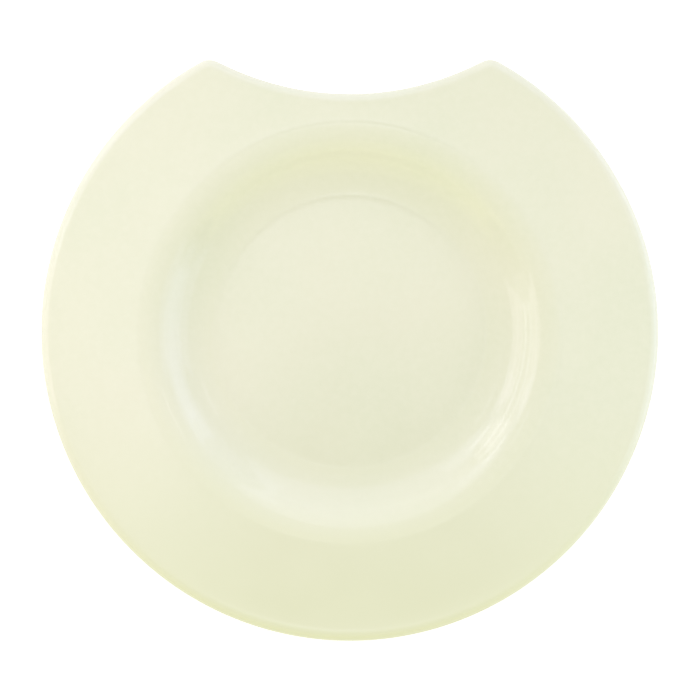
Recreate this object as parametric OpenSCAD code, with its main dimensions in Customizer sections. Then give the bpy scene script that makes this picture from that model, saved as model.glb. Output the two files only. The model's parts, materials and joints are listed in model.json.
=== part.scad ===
// Dinner plate with a level rim and a bite taken out of one side.
// The axis of the turned form is Z, the plate stands on z = 0, and the bite is on the +Y side.

/* [Plate] */
// Diameter across the round edge
plate_d = 270; // [240:1:320]
// Thickness of the glazed ware, alike in the floor, the wall and the rim
ware_t = 4.6; // [4:0.1:6]
// Thickness of the glaze
glaze_t = 0.4; // [0.25:0.05:0.5]

/* [Well] */
// Width of the rim, from the mouth of the well to the round edge
rim_w = 42.4; // [40:0.2:60]
// Radius of the cove, where the floor turns up into the wall
cove_r = 27; // [20:0.5:34]
// Radius of the shoulder, where the wall turns out into the rim
shoulder_r = 20; // [12:0.5:26]
// Steepest slope of the wall, in degrees
wall_slope = 45; // [30:1:55]

/* [Lip] */
// Radius on which the rim rolls over at its upper edge
lip_r = 4.5; // [3:0.25:5]
// How far it rolls over on that radius, in degrees
lip_roll = 60; // [40:1:70]

/* [Bite] */
// Radius of the bite
bite_r = 125.5; // [100:0.5:160]
// How far the bite reaches in from the round edge, at its middle
bite_depth = 30.8; // [16:0.2:32]
// Radius that rounds each horn beside the bite
horn_r = 7.5; // [6:0.5:12]

/* [Foot ring] */
// How far the ring's circle stands outside the edge of the flat floor
foot_out = 7.6; // [2:0.2:10]
// Height of the glazed base above the table
foot_h = 2.6; // [2:0.1:5]
// Width of the flat band that meets the table
contact_w = 2.2; // [1.5:0.1:4]
// Width of the ring at its root, where it joins the body
root_w = 5.2; // [4.6:0.1:8]
// Radius that eases both edges of the flat band
ease_r = 0.4; // [0.2:0.1:0.5]
// Height of the bare clay above the table
bare_h = 1; // [0.8:0.1:1.6]

/* [Hidden] */
$fn = 180;

glaze_colour = [0.925, 0.925, 0.825];
clay_colour = [0.87, 0.81, 0.69];

// Steps along the large arcs of the section and along the small ones
large_steps = 15;
small_steps = 8;
// Overlap of neighbouring parts of one solid
lap = 1;
// How far short of a horn's arc the edges on both sides of it end
horn_gap = 0.6;

plate_r = plate_d / 2;
mouth_r = plate_r - rim_w;
wall_rise = (cove_r + shoulder_r) * (1 - cos(wall_slope));
floor_r = mouth_r - (cove_r + shoulder_r) * sin(wall_slope);
floor_z = foot_h + ware_t;
rim_z = floor_z + wall_rise;
under_z = rim_z - ware_t;

cove_centre = [floor_r, floor_z + cove_r];
shoulder_centre = [mouth_r, rim_z - shoulder_r];

// The edge is an upper arc that rolls over and a nose arc that brings it under the rim
nose_r = (ware_t - lip_r * (1 - cos(lip_roll))) / (1 + cos(lip_roll));
edge_w = lip_r * sin(lip_roll) + nose_r * (1 - sin(lip_roll));
slab_in = edge_w + lap;

// The horn's centre lies inside the round edge and outside the bite by the horn's radius
bite_y = plate_r - bite_depth + bite_r;
horn_out = plate_r - horn_r;
horn_in = bite_r + horn_r;
horn_cos = (horn_out ^ 2 + bite_y ^ 2 - horn_in ^ 2) / (2 * horn_out * bite_y);
horn_turn = acos(horn_cos);
bite_turn = asin(horn_out * sin(horn_turn) / horn_in);
lip_gap_turn = asin(horn_gap / plate_r);
bite_gap_turn = asin(horn_gap / bite_r);

foot_r = floor_r + foot_out;
root_r = foot_r + root_w / 2;
root_z = ware_under(root_r) + lap / 2;

// Height of the glazed underside of the cove at radius r
function ware_under(r) =
    cove_centre.y - sqrt((cove_r + ware_t) ^ 2 - (r - floor_r) ^ 2);

function arc(centre, r, from, to, steps) =
    [for (i = [0 : steps]) let (a = from + (to - from) * i / steps) centre + r * [cos(a), sin(a)]];

// Section of the well from the axis into the rim, drawn in by inset on every surface
function well_points(inset) = concat(
    [[0, floor_z - inset]],
    arc(cove_centre, cove_r + inset, 270, 270 + wall_slope, large_steps),
    arc(shoulder_centre, shoulder_r - inset, 90 + wall_slope, 90, large_steps),
    [[mouth_r + lap, rim_z - inset], [mouth_r + lap, under_z + inset]],
    arc(shoulder_centre, shoulder_r - ware_t + inset, 90, 90 + wall_slope, large_steps),
    arc(cove_centre, cove_r + ware_t - inset, 270 + wall_slope, 270, large_steps),
    [[0, foot_h + inset]]
);

// Section of the edge, outwards from x = -reach to the outermost point at x = 0
function edge_points(inset, reach) = concat(
    [[-reach, rim_z - inset]],
    arc([-edge_w, rim_z - lip_r], lip_r - inset, 90, 90 - lip_roll, small_steps),
    arc([-nose_r, under_z + nose_r], nose_r - inset, 90 - lip_roll, -90, small_steps),
    [[-reach, under_z + inset]]
);

// Section of the foot ring, made wider by grow on each side
function foot_points(grow) =
    let (half = contact_w / 2 + grow)
    [
        for (p = arc([half, ease_r], ease_r, -90, 0, small_steps)) [foot_r + p.x, p.y],
        [root_r + grow, root_z],
        [2 * foot_r - root_r - grow, root_z],
        for (p = arc([-half, ease_r], ease_r, 180, 270, small_steps)) [foot_r + p.x, p.y]
    ];

// The level part of the rim, short of the edge
module rim_slab(inset) {
    translate([0, 0, under_z + inset])
        linear_extrude(ware_t - 2 * inset)
            difference() {
                circle(plate_r - slab_in);
                circle(mouth_r);
                translate([0, bite_y]) circle(bite_r + slab_in);
            }
}

// The round edge, from one horn the long way to the other
module round_edge(inset) {
    turn = horn_turn + lip_gap_turn;
    rotate_extrude(start = 90 + turn, angle = 360 - 2 * turn)
        translate([plate_r, 0])
            polygon(edge_points(inset, slab_in + lap));
}

// The same edge along the bite, about the bite's own centre
module bite_edge(inset) {
    turn = bite_turn - bite_gap_turn;
    translate([0, bite_y, 0])
        rotate_extrude(start = 270 - turn, angle = 2 * turn)
            translate([bite_r, 0])
                mirror([1, 0])
                    polygon(edge_points(inset, slab_in + lap));
}

// The rounded corner between the round edge and the bite, on one side
module horn(inset, side) {
    translate([side * horn_out * sin(horn_turn), horn_out * cos(horn_turn), 0])
        rotate_extrude()
            translate([horn_r, 0])
                polygon(edge_points(inset, horn_r));
}

// The whole plate above its foot ring: drawn full size it is the glaze's outside,
// and drawn in by the glaze's thickness it is the clay
module plate_form(inset) {
    rotate_extrude() polygon(well_points(inset));
    rim_slab(inset);
    round_edge(inset);
    bite_edge(inset);
    for (side = [-1, 1]) horn(inset, side);
}

// The glaze on both sides of the foot ring ends above the bare band
module foot_skin() {
    rotate_extrude()
        intersection() {
            polygon(foot_points(glaze_t));
            translate([0, bare_h]) square([root_r + lap, root_z]);
        }
}

// All that lies inside the middle of the foot ring, up into the clay
module base_zone() {
    cylinder(r = foot_r, h = root_z);
}

// Fired clay, pressed as a full round and cut along the bite before firing
module body() {
    color(clay_colour) plate_form(glaze_t);
}

// Ring of the same clay, luted to the underside and left bare where it stands
module foot_ring() {
    color(clay_colour)
        rotate_extrude()
            difference() {
                polygon(foot_points(0));
                polygon(well_points(glaze_t));
            }
}

// One coat over the face, round the edge, under the rim and down the outside of the foot ring
module glaze_coat() {
    color(glaze_colour)
        difference() {
            union() {
                plate_form(0);
                foot_skin();
            }
            plate_form(glaze_t);
            rotate_extrude() polygon(foot_points(0));
            base_zone();
        }
}

// The glaze on the recessed base and down the inside of the foot ring
module base_glaze() {
    color(glaze_colour)
        difference() {
            intersection() {
                union() {
                    rotate_extrude() polygon(well_points(0));
                    foot_skin();
                }
                base_zone();
            }
            rotate_extrude() polygon(well_points(glaze_t));
            rotate_extrude() polygon(foot_points(0));
        }
}

body();
foot_ring();
glaze_coat();
base_glaze();
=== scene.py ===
import json
import math

import bmesh
import bpy
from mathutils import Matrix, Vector

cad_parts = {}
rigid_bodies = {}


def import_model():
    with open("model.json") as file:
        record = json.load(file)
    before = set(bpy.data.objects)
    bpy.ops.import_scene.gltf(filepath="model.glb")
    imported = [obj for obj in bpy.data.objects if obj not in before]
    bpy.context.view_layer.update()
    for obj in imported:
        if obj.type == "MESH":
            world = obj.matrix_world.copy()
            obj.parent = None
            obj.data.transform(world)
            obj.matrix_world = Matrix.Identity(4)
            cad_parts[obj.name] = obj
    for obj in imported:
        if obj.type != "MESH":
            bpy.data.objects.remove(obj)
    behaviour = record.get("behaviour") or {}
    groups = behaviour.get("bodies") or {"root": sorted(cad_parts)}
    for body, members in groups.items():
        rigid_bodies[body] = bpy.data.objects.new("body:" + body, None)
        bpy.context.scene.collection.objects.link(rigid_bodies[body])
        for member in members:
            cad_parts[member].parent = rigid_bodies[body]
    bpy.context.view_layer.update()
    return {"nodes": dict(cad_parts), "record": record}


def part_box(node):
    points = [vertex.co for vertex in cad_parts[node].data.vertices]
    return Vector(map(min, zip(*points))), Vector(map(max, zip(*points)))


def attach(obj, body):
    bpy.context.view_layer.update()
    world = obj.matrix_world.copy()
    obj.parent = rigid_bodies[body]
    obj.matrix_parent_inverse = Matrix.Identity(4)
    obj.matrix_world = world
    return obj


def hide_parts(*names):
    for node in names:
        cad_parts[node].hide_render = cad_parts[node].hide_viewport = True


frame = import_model()

# The clay body: pressed as a full round plate, cut along the bite and fired.
# All of it lies under the glaze, so the CAD piece stays and takes the look of the clay.
# The clay is a buff stoneware with fine grog, matt because nothing was melted on it.
clay_colour = (0.71, 0.60, 0.43, 1)
clay_dark = (0.60, 0.49, 0.34, 1)
grog_colour = (0.33, 0.24, 0.15, 1)
clay_rough = 0.88
clay_shine = 0.3
patch_size = 0.009
patch_range = (0.35, 0.65)
grog_size = 0.0007
grog_range = (0.66, 0.72)
grain_size = 0.0003
grain_depth = 0.00003


def new_look(name):
    """A node material with its shader, and the piece's own coordinates to lay patterns on."""
    look = bpy.data.materials.new(name)
    look.use_nodes = True
    shader = look.node_tree.nodes["Principled BSDF"]
    places = look.node_tree.nodes.new("ShaderNodeTexCoord").outputs["Object"]
    return look, shader, places


def noise(look, places, size, detail=2):
    """Noise whose blotches are about size across, from 0 to 1."""
    node = look.node_tree.nodes.new("ShaderNodeTexNoise")
    node.inputs["Scale"].default_value = 1 / size
    node.inputs["Detail"].default_value = detail
    look.node_tree.links.new(places, node.inputs["Vector"])
    return node.outputs["Fac"]


def spread(look, value, low, high, to_low=0.0, to_high=1.0):
    """The part of a pattern between low and high, drawn out from to_low to to_high."""
    node = look.node_tree.nodes.new("ShaderNodeMapRange")
    node.inputs["From Min"].default_value = low
    node.inputs["From Max"].default_value = high
    node.inputs["To Min"].default_value = to_low
    node.inputs["To Max"].default_value = to_high
    look.node_tree.links.new(value, node.inputs["Value"])
    return node.outputs["Result"]


def blended(look, amount, first, second):
    """A colour between first and second, which are colours or other nodes' outputs."""
    node = look.node_tree.nodes.new("ShaderNodeMix")
    node.data_type = "RGBA"
    look.node_tree.links.new(amount, node.inputs["Factor"])
    for socket, colour in ((node.inputs[6], first), (node.inputs[7], second)):
        if isinstance(colour, tuple):
            socket.default_value = colour
        else:
            look.node_tree.links.new(colour, socket)
    return node.outputs[2]


def raised(look, height, depth, onto=None):
    """A bump of that depth in metres, laid on another bump if there is one."""
    node = look.node_tree.nodes.new("ShaderNodeBump")
    node.inputs["Strength"].default_value = 1
    node.inputs["Distance"].default_value = depth
    look.node_tree.links.new(height, node.inputs["Height"])
    if onto:
        look.node_tree.links.new(onto, node.inputs["Normal"])
    return node.outputs["Normal"]


def fired_clay():
    """Buff clay in faint patches, with dark specks of grog and a fine grain."""
    look, shader, places = new_look("fired_clay")
    patches = spread(look, noise(look, places, patch_size), *patch_range)
    grog = spread(look, noise(look, places, grog_size), *grog_range)
    ground = blended(look, patches, clay_colour, clay_dark)
    colour = blended(look, grog, ground, grog_colour)
    grain = raised(look, noise(look, places, grain_size), grain_depth)
    look.node_tree.links.new(colour, shader.inputs["Base Color"])
    look.node_tree.links.new(grain, shader.inputs["Normal"])
    shader.inputs["Roughness"].default_value = clay_rough
    shader.inputs["Specular IOR Level"].default_value = clay_shine
    return look


clay_look = fired_clay()
body = frame["nodes"]["body"]
body.data.materials.clear()
body.data.materials.append(clay_look)

# The foot ring: a ring of the same clay, luted to the underside before firing.
# Both edges of the flat band that meets the table are eased, and the band was wiped
# clean of glaze so that the plate didn't stick to the kiln shelf.
glaze_low, glaze_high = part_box("glaze_coat")
plate_r = glaze_high.x
root_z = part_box("foot_ring")[1].z
ware_t = 0.0046
cove_r = 0.027
shoulder_r = 0.020
wall_slope = math.radians(45)
rim_w = 0.0424
foot_out = 0.0076
contact_w = 0.0022
root_w = 0.0052
ease_r = 0.0004
merge_gap = 0.000002
round_steps = 180
ease_steps = 4
mouth_r = plate_r - rim_w
floor_r = mouth_r - (cove_r + shoulder_r) * math.sin(wall_slope)
foot_r = floor_r + foot_out
smooth_angle = math.radians(40)
quarter = math.radians(90)
full_turn = math.radians(360)


def begin(name):
    """A new piece at the origin, in edit mode and with nothing in it."""
    bpy.ops.object.select_all(action="DESELECT")
    bpy.ops.mesh.primitive_plane_add(size=ware_t)
    piece = bpy.context.object
    piece.name = name
    bpy.ops.object.mode_set(mode="EDIT")
    bpy.ops.mesh.select_mode(type="VERT")
    bpy.ops.mesh.delete(type="VERT")
    return piece


def pen_at(out, up):
    """The first point of a section in the plane x = 0, out from the axis and up from the table."""
    bpy.ops.mesh.primitive_plane_add(size=ware_t)
    bpy.ops.mesh.merge(type="CENTER")
    bpy.ops.transform.translate(value=(0, out, up))


def line_to(out, up):
    """A straight line of the section, on from the point drawn last."""
    drawn = bmesh.from_edit_mesh(bpy.context.edit_object.data)
    here = next(v.co.copy() for v in drawn.verts if v.select)
    step = Vector((0, out, up)) - here
    bpy.ops.mesh.extrude_vertices_move(TRANSFORM_OT_translate={"value": step})


def arc_about(out, up, turn, steps):
    """An arc of the section about that centre. A positive turn is clockwise, out to the right."""
    centre = (0, out, up)
    bpy.ops.mesh.spin(steps=steps, angle=turn, center=centre, axis=(1, 0, 0))


def swept(turn, steps, across=0.0, away=0.0):
    """Carries a section round an upright axis. A positive turn is clockwise, seen from above."""
    centre = (across, away, 0)
    bpy.ops.mesh.spin(steps=steps, angle=turn, center=centre, axis=(0, 0, 1))


def sewn_up(facing=0):
    """Merges the seams and poles of what is drawn on, and turns its faces out, up (1) or down (-1)."""
    bpy.ops.mesh.select_linked()
    bpy.ops.mesh.remove_doubles(threshold=merge_gap)
    bpy.ops.mesh.normals_make_consistent(inside=False)
    drawn = bmesh.from_edit_mesh(bpy.context.edit_object.data)
    seen_above = sum(face.normal.z * face.calc_area() for face in drawn.faces if face.select)
    if seen_above * facing < 0:
        bpy.ops.mesh.flip_normals()


def finished(piece, look, node):
    """Smooth, in its look, and in the place of its CAD piece."""
    bpy.ops.object.mode_set(mode="OBJECT")
    bpy.ops.object.shade_smooth_by_angle(angle=smooth_angle)
    piece.data.materials.clear()
    piece.data.materials.append(look)
    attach(piece, "root")
    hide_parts(node)


def half_ring(up):
    """Half the foot ring's width at that height."""
    low = contact_w / 2 + ease_r
    return low + (root_w / 2 - low) * (up - ease_r) / (root_z - ease_r)


ring = begin("bare_foot_ring")
pen_at(foot_r + root_w / 2, root_z)
line_to(foot_r + half_ring(ease_r), ease_r)
arc_about(foot_r + contact_w / 2, ease_r, quarter, ease_steps)
line_to(foot_r - contact_w / 2, 0)
arc_about(foot_r - contact_w / 2, ease_r, quarter, ease_steps)
line_to(foot_r - root_w / 2, root_z)
line_to(foot_r + root_w / 2, root_z)
bpy.ops.mesh.select_all(action="SELECT")
swept(full_turn, round_steps)
sewn_up()
finished(ring, clay_look, "foot_ring")

# The main coat of glaze: over the face, round the edge and the bite, under the rim and down
# the outside of the foot ring, where it ends in a soft bead above the bare band. It is a
# glossy cream with a faint green cast and pools beside the ring. Its colour is laid darker
# and yellower towards the near side, by position alone.
cream = (0.812, 0.803, 0.624, 1)
green_cream = (0.775, 0.788, 0.599, 1)
pale_cream = (0.842, 0.837, 0.669, 1)
# A darker, yellower cream, laid over the near side of the piece by position alone.
near_side_cream = (0.785, 0.795, 0.570, 1)
near_tint_full_y = -0.120
near_tint_none_y = -0.030
cloud_size = 0.075
cloud_range = (0.3, 0.7)
mottle_size = 0.0028
mottle_range = (0.35, 0.8)
mottle_share = 0.35
gloss_size = cloud_size / 3
smoothest = 0.06
roughest = 0.11
glaze_ior = 1.55
ripple_size = 0.016
ripple_depth = 0.000012
peel_size = 0.0022
peel_depth = 0.0000012
glaze_t = 0.0004
lip_r = 0.0045
lip_roll = math.radians(60)
bite_r = 0.1255
horn_r = 0.0075
hold_w = 0.0012
pool_w = 0.0012
bead_w = 0.00016
lip_steps = 6
nose_steps = 7
bite_steps = 11
horn_steps = 5
cove_steps = 10
shoulder_steps = 9
under_steps = 5
pool_steps = 3
bead_steps = 3
rim_z = glaze_high.z
bare_z = glaze_low.z
under_z = rim_z - ware_t
floor_z = rim_z - (cove_r + shoulder_r) * (1 - math.cos(wall_slope))
middle_r = floor_r / 3
nose_r = (ware_t - lip_r * (1 - math.cos(lip_roll))) / (1 + math.cos(lip_roll))
edge_w = lip_r * math.sin(lip_roll) + nose_r * (1 - math.sin(lip_roll))
bite_mount = next(m for m in frame["record"]["mounts"] if m["name"] == "bite")
bite_edge = bite_mount["pos_m"][1]
bite_y = bite_edge + bite_r
horn_out = plate_r - horn_r
horn_in = bite_r + horn_r
horn_cos = (horn_out**2 + bite_y**2 - horn_in**2) / (2 * horn_out * bite_y)
horn_turn = math.acos(horn_cos)
bite_turn = math.asin(horn_out * math.sin(horn_turn) / horn_in)
horn_x = horn_out * math.sin(horn_turn)
horn_y = horn_out * math.cos(horn_turn)
long_steps = round_steps - 2 * (bite_steps + horn_steps)


def parted(look, places):
    """The parts of a place or a direction: across, away and up."""
    node = look.node_tree.nodes.new("ShaderNodeSeparateXYZ")
    look.node_tree.links.new(places, node.inputs[0])
    return node.outputs["X"], node.outputs["Y"], node.outputs["Z"]


def cream_glaze():
    """Cream in soft clouds and a fine mottle, darker and yellower towards the near side, glossy over a
    faint ripple and orange peel.
    """
    look, shader, places = new_look("cream_glaze")
    clouds = spread(look, noise(look, places, cloud_size), *cloud_range)
    fine = noise(look, places, mottle_size, detail=4)
    mottle = spread(look, fine, *mottle_range, 0, mottle_share)
    ground = blended(look, clouds, cream, green_cream)
    speckled = blended(look, mottle, ground, pale_cream)
    _, away, _ = parted(look, places)
    # The near side of the piece is blended darker and yellower, by its position alone.
    near_side_share = spread(look, away, near_tint_full_y, near_tint_none_y, 1, 0)
    colour = blended(look, near_side_share, speckled, near_side_cream)
    gloss = spread(look, noise(look, places, gloss_size), *cloud_range, smoothest, roughest)
    ripple = raised(look, noise(look, places, ripple_size, detail=1), ripple_depth)
    peel = raised(look, noise(look, places, peel_size, detail=1), peel_depth, ripple)
    look.node_tree.links.new(colour, shader.inputs["Base Color"])
    look.node_tree.links.new(gloss, shader.inputs["Roughness"])
    look.node_tree.links.new(peel, shader.inputs["Normal"])
    shader.inputs["IOR"].default_value = glaze_ior
    return look


def under_at(out):
    """Height of the underside of the cove at that radius."""
    return floor_z + cove_r - math.sqrt((cove_r + ware_t) ** 2 - (out - floor_r) ** 2)


def under_angle(out):
    """How far round the cove's underside that radius lies, from straight below its centre."""
    return math.asin((out - floor_r) / (cove_r + ware_t))


def edges_where(wanted):
    """Selects the edges that are wanted, and nothing else."""
    bpy.ops.mesh.select_mode(type="EDGE")
    bpy.ops.mesh.select_all(action="DESELECT")
    drawn = bmesh.from_edit_mesh(bpy.context.edit_object.data)
    for edge in drawn.edges:
        edge.select_set(wanted(edge))
    bmesh.update_edit_mesh(bpy.context.edit_object.data)


def ring_at(out, up):
    """Selects the ring of edges at that place of a section."""
    edges_where(lambda edge: all(
        abs(v.co.xy.length - out) < merge_gap
        and abs(v.co.z - up) < merge_gap for v in edge.verts))


def open_rings_at(up):
    """Selects the open edges at that height."""
    edges_where(lambda edge: edge.is_boundary and all(
        abs(v.co.z - up) < merge_gap for v in edge.verts))


def bead_ring_at(up):
    """Selects the lowest ring of a coat, where it ends above the bare band."""
    edges_where(lambda edge: all(v.co.z < up + merge_gap for v in edge.verts))


def rounded_out(piece, centre_z, facing):
    """Doubles the mesh both ways, which rounds its steps, and closes the hole at the centre."""
    bpy.ops.object.mode_set(mode="OBJECT")
    bpy.ops.object.modifier_add(type="SUBSURF")
    rounding = piece.modifiers[0]
    rounding.levels = 1
    rounding.render_levels = 1
    bpy.ops.object.modifier_apply(modifier=rounding.name)
    bpy.ops.object.mode_set(mode="EDIT")
    open_rings_at(centre_z)
    bpy.ops.mesh.edge_face_add()
    bpy.ops.mesh.poke()
    sewn_up(facing)


def given_thickness(piece):
    """Adds the inner side of a coat of glaze, against the clay."""
    bpy.ops.object.mode_set(mode="OBJECT")
    bpy.ops.object.modifier_add(type="SOLIDIFY")
    coat_wall = piece.modifiers[0]
    coat_wall.thickness = glaze_t
    coat_wall.offset = -1
    bpy.ops.object.modifier_apply(modifier=coat_wall.name)
    bpy.ops.object.mode_set(mode="EDIT")


glaze_look = cream_glaze()
coat = begin("cream_glaze")
pen_at(bite_edge - edge_w - hold_w, rim_z)
line_to(bite_edge - edge_w, rim_z)
arc_about(bite_edge - edge_w, rim_z - lip_r, lip_roll, lip_steps)
arc_about(bite_edge - nose_r, under_z + nose_r, 2 * quarter - lip_roll, nose_steps)
line_to(bite_edge - edge_w - hold_w, under_z)
bpy.ops.mesh.select_all(action="SELECT")
swept(-bite_turn, bite_steps, away=bite_y)
swept(horn_turn + bite_turn, horn_steps, across=horn_x, away=horn_y)
swept(full_turn - 2 * horn_turn, long_steps)
swept(horn_turn + bite_turn, horn_steps, across=-horn_x, away=horn_y)
swept(-bite_turn, bite_steps, away=bite_y)
sewn_up()

pen_at(middle_r, floor_z)
line_to(floor_r - hold_w, floor_z)
line_to(floor_r, floor_z)
arc_about(floor_r, floor_z + cove_r, -wall_slope, cove_steps)
arc_about(mouth_r, rim_z - shoulder_r, wall_slope, shoulder_steps)
line_to(mouth_r + hold_w, rim_z)
bpy.ops.mesh.select_linked()
swept(full_turn, round_steps)
sewn_up(facing=1)

skin_r = foot_r + root_w / 2 + glaze_t
skin_end_r = foot_r + half_ring(bare_z) + glaze_t
pen_at(mouth_r + hold_w, under_z)
line_to(mouth_r, under_z)
arc_about(mouth_r, rim_z - shoulder_r, -wall_slope, under_steps)
arc_about(floor_r, floor_z + cove_r, wall_slope - under_angle(skin_r), under_steps)
line_to(skin_end_r, bare_z)
bpy.ops.mesh.select_linked()
swept(full_turn, round_steps)
sewn_up(facing=-1)

for rim_side in (rim_z, under_z):
    open_rings_at(rim_side)
    bpy.ops.mesh.bridge_edge_loops()
sewn_up()
ring_at(skin_r, under_at(skin_r))
bpy.ops.mesh.bevel(offset=pool_w, segments=pool_steps, affect="EDGES")
rounded_out(coat, floor_z, facing=1)
given_thickness(coat)
bead_ring_at(bare_z)
bpy.ops.mesh.bevel(offset=bead_w, segments=bead_steps, affect="EDGES")
finished(coat, glaze_look, "glaze_coat")

# The glaze on the recessed base and down the inside of the foot ring.
# The bare band of the ring parts it from the main coat. It was poured in from the same
# bucket, so it has the same look, and it pools round the inside of the ring.
base_z = floor_z - ware_t
pool_r = foot_r - root_w / 2 - glaze_t
pool_end_r = foot_r - half_ring(bare_z) - glaze_t
base = begin("base_pool_glaze")
pen_at(middle_r, base_z)
line_to(floor_r - hold_w, base_z)
line_to(floor_r, base_z)
arc_about(floor_r, floor_z + cove_r, -under_angle(pool_r), under_steps)
line_to(pool_end_r, bare_z)
bpy.ops.mesh.select_all(action="SELECT")
swept(full_turn, round_steps)
sewn_up(facing=-1)
ring_at(pool_r, under_at(pool_r))
bpy.ops.mesh.bevel(offset=pool_w, segments=pool_steps, affect="EDGES")
rounded_out(base, base_z, facing=-1)
given_thickness(base)
bead_ring_at(bare_z)
bpy.ops.mesh.bevel(offset=bead_w, segments=bead_steps, affect="EDGES")
finished(base, glaze_look, "base_glaze")

# The table: a pale floor that reaches past the view on all sides and keeps a soft shadow.
# Seen by the camera or in a gloss, it is lifted to white.
table_size = 12
table_colour = (0.8, 0.8, 0.8, 1)
table_rough = 1
table_lift = 0.55
white = (1, 1, 1, 1)


def worked_out(look, operation, *given):
    """The result of a Math node on numbers or other nodes' outputs."""
    node = look.node_tree.nodes.new("ShaderNodeMath")
    node.operation = operation
    for socket, value in zip(node.inputs, given):
        if isinstance(value, (int, float)):
            socket.default_value = value
        else:
            look.node_tree.links.new(value, socket)
    return node.outputs[0]


def seen(look):
    """1 for what the camera sees, straight or in a gloss, and 0 for the light on things."""
    ray = look.node_tree.nodes.new("ShaderNodeLightPath").outputs
    opaque = worked_out(look, "MAXIMUM", ray["Is Camera Ray"], ray["Is Glossy Ray"])
    return worked_out(look, "MAXIMUM", opaque, ray["Is Transmission Ray"])


bpy.ops.mesh.primitive_plane_add(size=table_size)
table = bpy.context.object
table.name = "table"
table_look, table_shader, _ = new_look("pale_table")
lift = worked_out(table_look, "MULTIPLY", seen(table_look), table_lift)
table_look.node_tree.links.new(lift, table_shader.inputs["Emission Strength"])
table_shader.inputs["Emission Color"].default_value = white
table_shader.inputs["Base Color"].default_value = table_colour
table_shader.inputs["Roughness"].default_value = table_rough
table_shader.inputs["Specular IOR Level"].default_value = 0
table.data.materials.append(table_look)

# The light: a plain white room with soft panels round the plate, bluish at the far side and
# the right and yellowish at the near side. The window on the left is parted into strips, as by
# a blind. A brighter panel is overhead, and the camera's stand makes a dark gap in it.
room_level = 0.792
ceiling_level = 1.48
ceiling_near = 0.3
ceiling_left = 0.006
ceiling_half = 0.030
ceiling_edge = 0.066
stand_level = 0.08
stand_right = 0.004
stand_half = 0.011
stand_fade = 0.034
stand_flare = 0.4
stand_front = 0.002
stand_back = 0.027
stand_low = 0.9968
stand_high = 0.9978
room_light = (1.0, 1.0, 0.90, 1)
sky_light = (1.0, 1.0, 1.18, 1)
warm_light = (1.0, 1.0, 0.42)
window_light = (1.0, 0.94, 1.15)
rosy_daylight = (0.94, 0.80, 1.02)
soft_daylight = (0.82, 0.83, 1.28)
blue_daylight = (0.72, 0.79, 1.30)
far_away = 1.3
close_by = 0.36
close_size = (0.22, 0.16)
strip_size = (1.32, 0.11)
strip_levels = ((6, 0.45), (12, 1.8), (18.5, 0.7), (30, 0.6))
spot_away = 0.8
spot_up = 57
spot_size = (0.12, 0.05)
world = bpy.data.worlds.new("white_room")
bpy.context.scene.world = world
world.use_nodes = True
room = world.node_tree.nodes["Background"]


def overhead_panel(across, away, up):
    """1 in the bright panel overhead, 0 outside it, and a soft edge between them."""
    sideways = worked_out(world, "ADD", across, ceiling_left)
    sideways_square = worked_out(world, "MULTIPLY", sideways, sideways)
    nearer = worked_out(world, "MULTIPLY", away, -ceiling_near)
    reach = worked_out(world, "MAXIMUM", away, nearer)
    off_square = worked_out(world, "MULTIPLY_ADD", reach, reach, sideways_square)
    off_centre = worked_out(world, "SQRT", off_square)
    inside = spread(world, off_centre, ceiling_half, ceiling_edge, 1, 0)
    upward = worked_out(world, "GREATER_THAN", up, 0)
    return worked_out(world, "MULTIPLY", upward, inside)


def stand_gap(across, away, up):
    """1 where the camera's stand is and 0 elsewhere. It widens towards the near side."""
    from_stand = worked_out(world, "SUBTRACT", across, stand_right)
    aside = worked_out(world, "ABSOLUTE", from_stand)
    flared = worked_out(world, "MULTIPLY_ADD", away, stand_flare, aside)
    narrow = spread(world, flared, stand_half, stand_fade, 1, 0)
    ahead = spread(world, away, stand_front, stand_back, 1, 0)
    above = spread(world, up, stand_low, stand_high)
    gap = worked_out(world, "MULTIPLY", narrow, ahead)
    return worked_out(world, "MULTIPLY", gap, above)


ways = parted(world, world.node_tree.nodes.new("ShaderNodeTexCoord").outputs["Generated"])
ceiling = overhead_panel(*ways)
bright = spread(world, ceiling, 0, 1, room_level, ceiling_level)
unlit = spread(world, stand_gap(*ways), 0, 1, 1, stand_level)
strength = worked_out(world, "MULTIPLY", bright, unlit)
tint = blended(world, ceiling, room_light, sky_light)
world.node_tree.links.new(strength, room.inputs["Strength"])
world.node_tree.links.new(tint, room.inputs["Color"])


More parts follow.
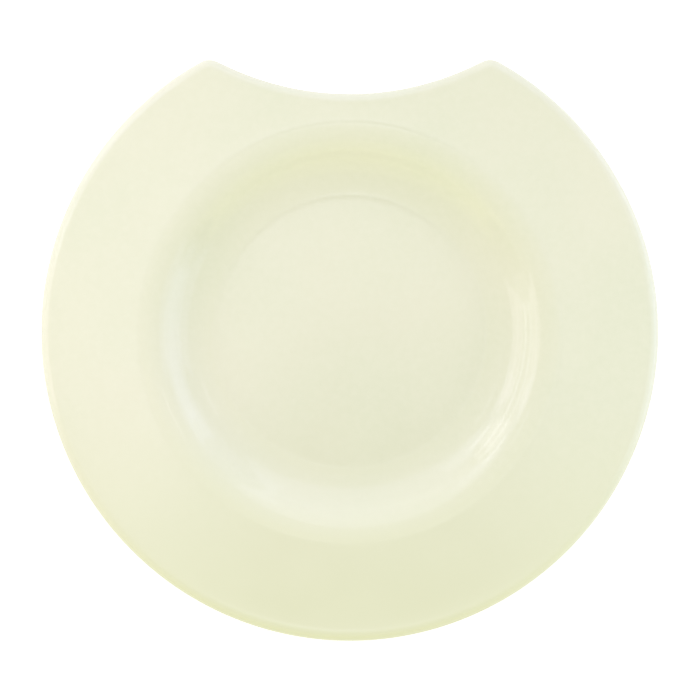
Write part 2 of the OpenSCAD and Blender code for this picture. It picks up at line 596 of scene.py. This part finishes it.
def softbox(name, azimuth, elevation, distance, wide, tall, level, colour):
    """A lit panel turned to the plate. At level 1 it is as bright as a white room."""
    bearing = math.radians(azimuth)
    climb = math.radians(elevation)
    flat = math.cos(climb)
    way_out = Vector((flat * math.cos(bearing), flat * math.sin(bearing), math.sin(climb)))
    aim = way_out.to_track_quat("Z", "Y").to_euler()
    place = Vector((0, 0, floor_z)) + way_out * distance
    bpy.ops.object.light_add(type="AREA", location=place, rotation=aim)
    lamp = bpy.context.object
    lamp.name = name
    lamp.data.shape = "RECTANGLE"
    lamp.data.size = wide
    lamp.data.size_y = tall
    lamp.data.color = colour
    lamp.data.energy = level * math.pi * wide * tall
    lamp.visible_camera = False


softbox("far_panel", 97, 28, far_away, 1.9, 1.3, 0.60, soft_daylight)
softbox("far_right_panel", 46, 18, far_away, 0.9, 0.75, 0.40, soft_daylight)
softbox("near_panel", 270, 28, far_away, 3.2, 0.8, 0.37, warm_light)
softbox("low_near_panel", 270, 12, far_away, 3.0, 0.45, 0.25, warm_light)
softbox("right_panel", 8, 12, far_away, 1.4, 0.62, 0.75, blue_daylight)
for strip_up, strip_level in strip_levels:
    softbox("window_strip", 162, strip_up, far_away, *strip_size, strip_level, window_light)
softbox("window_end", 145, 13, far_away, 0.25, 0.50, 0.9, window_light)
softbox("window_top", 141.5, 30, far_away, 0.20, 0.16, 1.4, window_light)
softbox("window_side", 193, 14, far_away, 0.30, 0.35, 0.5, window_light)
softbox("close_left_panel", 175, 34, close_by, *close_size, 1.00, rosy_daylight)
softbox("close_far_panel", 145, 36, close_by, *close_size, 0.50, soft_daylight)
softbox("close_right_panel", -8, 35, close_by, *close_size, 0.62, blue_daylight)
softbox("low_right_panel", 0, 12, close_by, 0.40, 0.10, 0.60, blue_daylight)
softbox("spot_right", 25, spot_up, spot_away, *spot_size, 1.00, window_light)
softbox("spot_left", 151, spot_up, spot_away, *spot_size, 1.00, window_light)

# The camera: straight above, two metres over the edge of the plate. Its lens gives the plate
# its share of the picture, with the plate's centre a little above the middle.
picture_px = 700
outline_px = 308.6
centre_across_px = 349.8
centre_down_px = 332.3
camera_up = 2.0
sensor_mm = 36
edge_z = under_z + nose_r
px = plate_r / outline_px
bpy.ops.object.camera_add(rotation=(0, 0, 0), location=(
    (picture_px / 2 - centre_across_px) * px,
    (centre_down_px - picture_px / 2) * px,
    edge_z + camera_up,
))
camera = bpy.context.object
camera.data.sensor_width = sensor_mm
camera.data.lens = sensor_mm * camera_up / (picture_px * px)
bpy.context.scene.camera = camera
bpy.context.scene.view_settings.view_transform = "Standard"
